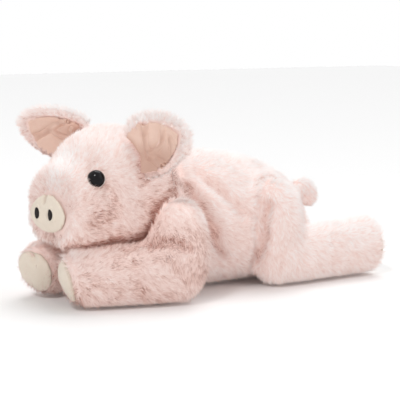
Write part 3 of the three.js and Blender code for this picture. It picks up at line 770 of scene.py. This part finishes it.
def place_camera():
    camera = bpy.data.cameras.new("camera")
    camera.lens = CAMERA_LENS
    camera.sensor_width = CAMERA_SENSOR
    camera.shift_x, camera.shift_y = CAMERA_SHIFT
    eye = bpy.data.objects.new("camera", camera)
    bpy.context.scene.collection.objects.link(eye)
    flat = math.cos(CAMERA_RISE)
    back = Vector((math.sin(CAMERA_AZIMUTH) * flat, -math.cos(CAMERA_AZIMUTH) * flat,
                   math.sin(CAMERA_RISE)))
    eye.location = Vector(CAMERA_TARGET) + back
    eye.rotation_euler = back.to_track_quat("Z", "Y").to_euler()
    bpy.context.scene.camera = eye


def add_lamp(name, kind, place, strength, **settings):
    """A lamp that shines from its place toward the middle of the pig."""
    light = bpy.data.lights.new(name, kind)
    light.energy = strength
    for key, value in settings.items():
        setattr(light, key, value)
    lamp = bpy.data.objects.new(name, light)
    lamp.location = place
    lamp.rotation_euler = (Vector(place) - Vector(LAMP_TARGET)).to_track_quat("Z", "Y").to_euler()
    bpy.context.scene.collection.objects.link(lamp)


def build_studio():
    """A white floor and soft sky. The camera, mirrors and glass see plain white above the floor."""
    bpy.context.scene.view_settings.view_transform = "Standard"
    world = bpy.data.worlds.new("studio")
    bpy.context.scene.world = world
    world.use_nodes = True
    tree = world.node_tree
    tree.nodes.clear()
    path = tree.nodes.new("ShaderNodeLightPath")
    seen = path.outputs["Is Camera Ray"]
    for ray in ("Is Glossy Ray", "Is Transmission Ray"):
        either = tree.nodes.new("ShaderNodeMath")
        either.operation = "MAXIMUM"
        tree.links.new(seen, either.inputs[0])
        tree.links.new(path.outputs[ray], either.inputs[1])
        seen = either.outputs[0]
    light = tree.nodes.new("ShaderNodeBackground")
    white = tree.nodes.new("ShaderNodeBackground")
    for sky, strength in ((light, 0.5), (white, 1.0)):
        sky.inputs["Color"].default_value = (1, 1, 1, 1)
        sky.inputs["Strength"].default_value = strength
    mix = tree.nodes.new("ShaderNodeMixShader")
    output = tree.nodes.new("ShaderNodeOutputWorld")
    tree.links.new(seen, mix.inputs[0])
    tree.links.new(light.outputs[0], mix.inputs[1])
    tree.links.new(white.outputs[0], mix.inputs[2])
    tree.links.new(mix.outputs[0], output.inputs[0])
    add_lamp("key", "AREA", (-1.37, -0.74, 1.75), 12.5, shape="DISK", size=0.35)
    add_lamp("side", "SUN", (0.6, -0.9, 0.8), 0.5, angle=math.radians(60))
    add_lamp("top", "SUN", (0.5, 0.35, 1.4), 1.5, angle=math.radians(45))
    bpy.ops.mesh.primitive_plane_add(size=8, location=(0, 0, 0))
    floor = bpy.context.active_object
    floor.name = "floor"
    paint = Paint("floor_white", Roughness=0.9, Specular_IOR_Level=0.0)
    paint.set(Base_Color=(0.9, 0.9, 0.9))
    floor.data.materials.append(paint.material)


# The way the pile lies

def body_flow(place, normal):
    """Toward the tail, and down on the sides."""
    flow = np.zeros_like(place)
    flow[:, 0] = 1
    flow[:, 2] = -0.6 * np.abs(normal[:, 1])
    return flow


def head_flow(place, normal):
    """Back from the snout."""
    flow = unit(place - np.array([-140, 1, 70]) * MM)
    flow[:, 0] += 0.3
    flow[:, 2] -= 0.25 * np.abs(normal[:, 1])
    return flow


def foreleg_flow(place, normal):
    """Back from the sole on the foreleg, and down on the upper leg."""
    flow = np.zeros_like(place)
    upper = ramp(place[:, 0], -82 * MM, -52 * MM)
    flow[:, 0] = 1 - upper
    flow[:, 2] = -0.35 - 0.65 * upper
    return flow


def hind_leg_flow(place, normal):
    """Down on the haunch, and back along the lying leg."""
    flow = np.zeros_like(place)
    lying = ramp(place[:, 0], 40 * MM, 75 * MM)
    flow[:, 0] = 0.3 + lying
    flow[:, 2] = -(1 - lying) - 0.3
    return flow


def tail_flow(place, normal):
    flow = np.zeros_like(place)
    flow[:, 0] = 0.4
    flow[:, 2] = -1
    return flow


# Pieces

def beside(tree, places, directions):
    """Near 1 in the open skin close to a neighbour, and 0 far off or where the neighbour covers it."""
    near = 1 - ramp(distances_to(tree, places), 0.5 * MM, 8 * MM)
    for index in np.nonzero(near)[0]:
        outward = Vector(directions[index])
        if tree.ray_cast(Vector(places[index]) + outward * 0.1 * MM, outward, 12 * MM)[0]:
            near[index] = 0
    return near


def add_stuffed(name, kind, parts, swallowed, body, flow, folds, bare, swell=0, part_shade=0):
    """A stuffed form and its pile. swallowed nodes only round its shape. Each bare row is a node that keeps
    the pile off: how near to it the skin is bald, how far from it hairs lean over it, how long they are,
    and how much shade is painted on them. swell fills the corner beside a neighbour, and the last argument
    paints shade over the whole pile, or light where it is negative."""
    skin = skin_over(parts + swallowed, SKIN_VOXEL, 8)
    others = [node for other, held in frame["record"]["behaviour"]["bodies"].items() if other != body
              for node in held if node.endswith("_cover")]
    neighbours = tree_over(others)
    places, directions = points_of(skin), normals_of(skin)
    open_share = ramp(distances_to(neighbours, places), 1.5 * MM, 9 * MM)
    inset = CLOSE_DEPTH + (PILE_DEPTH - CLOSE_DEPTH) * open_share
    outward = swell * beside(neighbours, places, directions) - inset
    move_points(skin, places + directions * outward[:, None])
    smooth = skin.modifiers.new("smooth", "SMOOTH")
    smooth.iterations = 3
    apply_modifiers(skin)
    folds = press_folds(skin, folds)
    fill_out(skin, folds)
    subdivide(skin)
    folds = press_folds(skin, folds, SECOND_PRESS)
    finish_piece(skin, name, backing, body, "plush", *parts)
    coat = Coat(skin, flow)
    coat.tone -= part_shade
    coat.shade_folds(folds, HAIR_LENGTH[kind])
    # The torso and a hind leg look like one form where they meet, so neither paints corner shade on the
    # other
    apart = [node for node in others if not ("hind" in node + name and "body" in node + name)]
    if body != "head":
        apart += ["left_ear", "right_ear"]
    coat.shade_corners(tree_over(apart))
    for node in others:
        neighbour = tree_over([node])
        haunch = "hind" in node + name
        if "body" in node + name:
            coat.bridge(neighbour, 7 * MM)
        if swell or haunch:
            coat.lean_over(neighbour, 6 * MM)
        # Painted shade where a neighbour is near, faint beside a hind leg
        coat.keep_clear(neighbour, 1 * MM, 6 * MM, 0.85, 0.02 if haunch else 0.2)
    for node, reach, over, fringe, painted_shade in bare:
        edge = tree_over([node])
        coat.lean_over(edge, over)
        coat.keep_clear(edge, over, over + 2 * MM, fringe, painted_shade)
        if reach:
            coat.keep_clear(edge, reach, reach + 1 * MM, 0, 0)
    grow_pile(coat, kind, name + "_pile", body)


def both_sides(folds):
    return folds + [(mirrored(line), depth, width, painted_shade) for line, depth, width, painted_shade in folds]


def add_body():
    # Painted shade in the shoulder and flank folds, and a little painted light over the whole torso
    folds = both_sides([(SHOULDER_FOLD, 7 * MM, 4.5 * MM, 0.38),
                        (FLANK_FOLD, 4.5 * MM, 4.5 * MM, 0.13)])
    add_stuffed("body_plush", "body", ["body_cover", "body_filling"], [], "torso", body_flow, folds,
                [("head_cover", 0, 12 * MM, 1.5, 0.2)], swell=6 * MM, part_shade=-0.06)


def add_head():
    # Painted shade in the cheek, jowl, brow, chin and nose folds; painted light on the puffs and the nose
    # bridge
    folds = both_sides([(CHEEK_FOLD, 4 * MM, 5 * MM, 0.15), (JOWL_FOLD, 2.5 * MM, 7 * MM, 0.18),
                        (BROW_FOLD, 1.6 * MM, 2 * MM, 0.2)])
    folds += [(CHIN_FOLD, 2 * MM, 1.5 * MM, 0.08), (NOSE_FOLD, 1.5 * MM, 1.8 * MM, 0.1),
              (NEAR_PUFF, -2 * MM, 5 * MM, -0.2), (FAR_PUFF, -2.5 * MM, 6 * MM, -0.2),
              (NOSE_BRIDGE, 0, 11 * MM, -0.34)]
    # Painted shade round the snout pad, the eyes, the ears and the neck
    add_stuffed("head_plush", "head", ["head_cover", "head_filling"],
                ["snout_pad", "left_nostril", "right_nostril"], "head", head_flow, folds,
                [("snout_pad", 1.5 * MM, 3 * MM, 0.8, 0.12), ("left_eye", 0.5 * MM, 2 * MM, 0.8, 0.4),
                 ("right_eye", 0.3 * MM, 2 * MM, 1.0, 0.3), ("left_ear", 0, 5 * MM, 1.15, 0.35),
                 ("right_ear", 0, 4 * MM, 1.0, 0.3), ("body_cover", 0, 9 * MM, 1.3, 0.2)])


def add_legs():
    """Folds without depth only paint shade on the pile. The forelegs get a little painted shade all over,
    the hind legs a little painted light.
    """
    crease = [(x, y, z - 2.5) for x, y, z in FOREARM_CREASE[1:]]
    front = [(FOREARM_SEAM, 2 * MM, 2 * MM, 0.08), (FOREARM_CREASE, 5 * MM, 3 * MM, 0.22),
             (crease, 0, 1.2 * MM, 0.5), (FOREARM_CREASE, 0, 15 * MM, 0.2), (FOREARM_TOP, 0, 8 * MM, 0.25)]
    rear = [(HAUNCH_FOLD, 5 * MM, 3.5 * MM, 0.38), (HAUNCH_FOLD[1:], 0, 1.8 * MM, 0.45),
            (HAUNCH_FRONT, 3 * MM, 7 * MM, -0.05), (KNEE_FOLD, 2 * MM, 4 * MM, 0.05),
            (ANKLE_FOLD, 2.2 * MM, 1.2 * MM, 0.17), (HEEL_FOLD, 2.2 * MM, 1.2 * MM, 0.2)]
    for word in ("left", "right"):
        for part, folds, flow in (("foreleg", front, foreleg_flow), ("hind_leg", rear, hind_leg_flow)):
            name = f"{word}_{part}"
            own = folds if word == "left" else [(mirrored(line), *rest) for line, *rest in folds]
            add_stuffed(name + "_plush", "leg", [name + "_cover", name + "_filling"], [name + "_sole"],
                        name, flow, own, [(name + "_sole", 1.3 * MM, 5 * MM, 1.15, 0.05)],
                        part_shade=0.07 if part == "foreleg" else -0.09)


def add_tail():
    skin = thin_skin(["tail"], 1.8 * MM, 4, 1.2)
    finish_piece(skin, "tail_plush", backing, "tail_body", "plush", "tail")
    coat = Coat(skin, tail_flow)
    # Painted light: the tail's pile is lighter all over
    coat.tone += 0.2
    grow_pile(coat, "tail", "tail_pile", "tail_body")


def front_of_ear(word):
    """The direction that an ear's lining faces."""
    lining_middle = points_of(nodes[f"{word}_ear_lining"]).mean(axis=0)
    front = lining_middle - points_of(nodes[f"{word}_ear"]).mean(axis=0)
    along = np.array(hinges[f"{word}_ear_turn"]["axis"])
    return unit(front - along * (front @ along))


def add_ear(word):
    """An ear's leaf, with a pile that leans over the edge of its lining."""
    leaf = f"{word}_ear"
    body = f"{word}_ear_body"
    skin = thin_skin([leaf, leaf + "_lining"], 1.5 * MM, 5, 0.9)
    finish_piece(skin, leaf + "_plush", backing, body, "plush", leaf)
    root = np.array(hinges[f"{word}_ear_turn"]["pos_m"])
    middle = points_of(nodes[leaf]).mean(axis=0)

    def flow(place, normal):
        return unit(middle - root) + unit(place - middle)

    coat = Coat(skin, flow, upward=1.2)
    # Painted light: the ear's pile is lighter all over
    coat.tone += 0.14
    height = (coat.places - middle) @ unit(np.array([0.5, 0, 0.85]))
    coat.length *= 0.35 + 0.65 * ramp(height, -16 * MM, 0)
    # Painted shade on the pile near the lining's edge
    edge = tree_over([leaf + "_lining"])
    coat.lean_over(edge, 1.8 * MM)
    coat.keep_clear(edge, 0.6 * MM, 1.4 * MM, 0.0, 0.05)
    coat.keep_clear(edge, 1.4 * MM, 4 * MM, 0.6, 0.08)
    grow_pile(coat, "ear", leaf + "_pile", body, lift_share=0.6, spacing=EAR_LOCK_SPACING)


def add_lining(word, pleats):
    """An ear's lining: thin cloth with pleats, with painted shade in them, near the head and over the left
    ear's lower part.
    """
    leaf = f"{word}_ear"
    cloth = skin_over([leaf + "_lining"], 0.9 * MM, 4)
    front = front_of_ear(word)
    places = points_of(cloth) + front * 0.5 * MM
    wave = np.array([noise.noise(Vector(point * 85 + 5)) for point in places])
    move_points(cloth, places + front * (wave * 1.1 * MM)[:, None])
    press_folds(cloth, [(line, 2.5 * MM, 2.5 * MM, 0) for line in pleats])
    subdivide(cloth)
    places = points_of(cloth)
    shade = np.zeros(len(places))
    for line in pleats:
        shade = np.maximum(shade, 0.5 * near_line(places, onto(cloth, line), 2.2 * MM))
    from_head = distances_to(tree_over(["head_cover"]), places)
    shade = np.maximum(shade, 0.8 * (1 - ramp(from_head, 0, 7 * MM)))
    # Painted shade over the lower part of the left ear's lining
    if word == "left":
        shade = np.maximum(shade, 0.55 * (1 - ramp(places[:, 2], 108 * MM, 122 * MM)))
    shade_tucks(cloth, shade)
    finish_piece(cloth, leaf + "_lining_cloth", lining, f"{word}_ear_body", "ear_lining", leaf + "_lining")


def add_snout():
    """A domed pad of velour, pinched at its top, with an oval dent for each nostril."""
    pad = skin_over(["snout_pad", "left_nostril", "right_nostril"], 0.9 * MM, 4)
    places = points_of(pad)
    low, high = places.min(axis=0), places.max(axis=0)
    across = (places - (low + high) / 2) / ((high - low) / 2)
    places[:, 0] -= 1.2 * MM * (0.6 - across[:, 1] ** 2 - across[:, 2] ** 2)
    places[:, 0] -= 1.6 * MM * np.maximum(across[:, 1], 0)
    places[:, 1] += 1.2 * MM * across[:, 1]
    move_points(pad, places)
    press_folds(pad, [(SNOUT_PINCH, 1.5 * MM, 1.8 * MM, 0)])
    subdivide(pad)
    places, directions = points_of(pad), normals_of(pad)
    for word in ("left", "right"):
        low, high = (np.array(corner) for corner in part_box(f"{word}_nostril"))
        middle = (low + high) / 2
        across = (places[:, 1] - middle[1]) / DENT_HALF_WIDTH
        up = (places[:, 2] - middle[2]) / DENT_HALF_HEIGHT
        oval = np.sqrt(across ** 2 + up ** 2)
        front = places[:, 0] < middle[0] + 2 * MM
        rim = 0.6 * np.exp(-((oval - 1.25) / 0.2) ** 2) - 0.9 * (1 - ramp(oval, 0.75, 1.1))
        places = places + directions * (rim * front * MM)[:, None]
    move_points(pad, places)
    # Painted shade in the pinch and along the rim beside the head
    pinched = near_line(places, onto(pad, SNOUT_PINCH), 1.5 * MM)
    rim = 1 - ramp(distances_to(tree_over(["head_cover"]), places), 0.6 * MM, 2.2 * MM)
    shade_tucks(pad, np.maximum(0.35 * pinched, 0.6 * rim))
    finish_piece(pad, "snout_velour", velour, "head", "velour", "snout_pad")


def add_nostril(word):
    """Satin stitches side by side over a dark oval."""
    low, high = (Vector(corner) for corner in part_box(f"{word}_nostril"))
    middle = (low + high) / 2 + Vector((NOSTRIL_SHIFT_MM[word], 0, 0)) * MM
    strands = []
    for number in range(NOSTRIL_STITCHES):
        rise = (2 * (number + 0.5) / NOSTRIL_STITCHES - 1) * NOSTRIL_HALF_HEIGHT
        reach = NOSTRIL_HALF_WIDTH * math.sqrt(1 - (rise / NOSTRIL_HALF_HEIGHT) ** 2)
        strands.append(add_ball(8, 8, (1.0 * MM, reach, 0.42 * MM), middle + Vector((-0.2 * MM, 0, rise))))
    base = add_ball(24, 12, (0.9 * MM, NOSTRIL_HALF_WIDTH, NOSTRIL_HALF_HEIGHT), middle)
    select_only(*strands, base)
    bpy.ops.object.join()
    piece = bpy.context.view_layer.objects.active
    apply_placing(piece)
    finish_piece(piece, f"{word}_nostril_stitches", stitching, "head", "nostril_stitching",
                 f"{word}_nostril")


def add_sole(name, pinch):
    """A soft domed pad. The fur lies over its edge, so it is cut smaller than the end of the leg. facing is
    the way that it faces: its thinnest direction, away from the leg."""
    sole = skin_over([name + "_sole"], 1.2 * MM, 4)
    places = points_of(sole)
    middle = places.mean(axis=0)
    facing = np.linalg.svd(places - middle, full_matrices=False)[2][2]
    facing *= np.sign(facing @ (middle - points_of(nodes[name + "_cover"]).mean(axis=0)))
    out = (places - middle) @ facing
    flat = places - middle - out[:, None] * facing
    reach = np.linalg.norm(flat, axis=1) / np.linalg.norm(flat, axis=1).max()
    move_points(sole, middle + 0.9 * flat + (out + 2 * MM * (0.5 - reach ** 2))[:, None] * facing)
    press_folds(sole, pinch)
    subdivide(sole)
    wave = np.array([noise.noise(Vector(point * 60 + 3)) for point in points_of(sole)])
    move_points(sole, points_of(sole) + normals_of(sole) * (wave * 0.9 * MM)[:, None])
    # Painted shade along the rim beside the leg
    rim = 1 - ramp(distances_to(tree_over([name + "_cover"]), points_of(sole)), 0.6 * MM, 2.6 * MM)
    shade_tucks(sole, 0.45 * rim)
    finish_piece(sole, name + "_sole_velour", velour, name, "velour", name + "_sole")


def add_eye(word):
    """A polished dome on the line from the head's middle through the eye."""
    centre = np.array(hinges["head_turn"]["pos_m"])
    places = points_of(nodes[f"{word}_eye"]) - centre
    direction = Vector(unit(places.mean(axis=0)))
    top = (places @ np.array(direction)).max()
    eye = add_ball(48, 24, (EYE_RADIUS, EYE_RADIUS, EYE_DOME))
    eye.rotation_euler = direction.to_track_quat("Z", "Y").to_euler()
    eye.location = Vector(centre) + direction * (top - EYE_DOME - EYE_SUNK[word])
    apply_placing(eye)
    finish_piece(eye, f"{word}_eye_dome", gloss, "head", "eye", f"{word}_eye")


def add_neck_seam():
    """The seam's thread: a fine ring with a knot of stitches all round."""
    low, high = (Vector(corner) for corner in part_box("neck_seam_thread"))
    middle = (low + high) / 2
    bpy.ops.mesh.primitive_torus_add(major_segments=240, minor_segments=8, major_radius=SEAM_RADIUS,
                                     minor_radius=SEAM_THREAD, location=middle,
                                     rotation=(0, math.pi / 2, 0))
    ring = bpy.context.active_object
    apply_placing(ring)
    places = points_of(ring)
    angle = np.arctan2(places[:, 2] - middle.z, places[:, 1] - middle.y)
    move_points(ring, places + normals_of(ring) * (0.12 * MM * np.cos(60 * angle))[:, None])
    finish_piece(ring, "neck_stitches", pink_thread, "neck", "seam_thread", "neck_seam_thread")


build_studio()
place_camera()
pile = pile_paint()
backing = backing_paint()
velour = velour_paint("cream_velour", VELOUR_CREAM, VELOUR_DEEP, VELOUR_SHADE)
lining = velour_paint("ear_lining_cloth", LINING_PEACH, LINING_DEEP, LINING_SHADE)
gloss = eye_paint()
stitching = thread_paint("nostril_thread", NOSTRIL_BLACK)
pink_thread = thread_paint("pink_thread", THREAD_PINK)

add_body()
add_head()
add_legs()
add_tail()
for word, pleats in (("left", LEFT_EAR_PLEATS), ("right", RIGHT_EAR_PLEATS)):
    add_ear(word)
    add_lining(word, pleats)
add_snout()
for word in ("left", "right"):
    add_nostril(word)
    add_eye(word)
    nodes[f"{word}_eye_washer"].data.materials.clear()
    nodes[f"{word}_eye_washer"].data.materials.append(washer_paint())
add_sole("right_foreleg", [(SOLE_PINCH, 2 * MM, 2 * MM, 0)])
add_sole("left_foreleg", [(mirrored(SOLE_PINCH), 2 * MM, 2 * MM, 0)])
add_sole("left_hind_leg", [])
add_sole("right_hind_leg", [])
add_neck_seam()
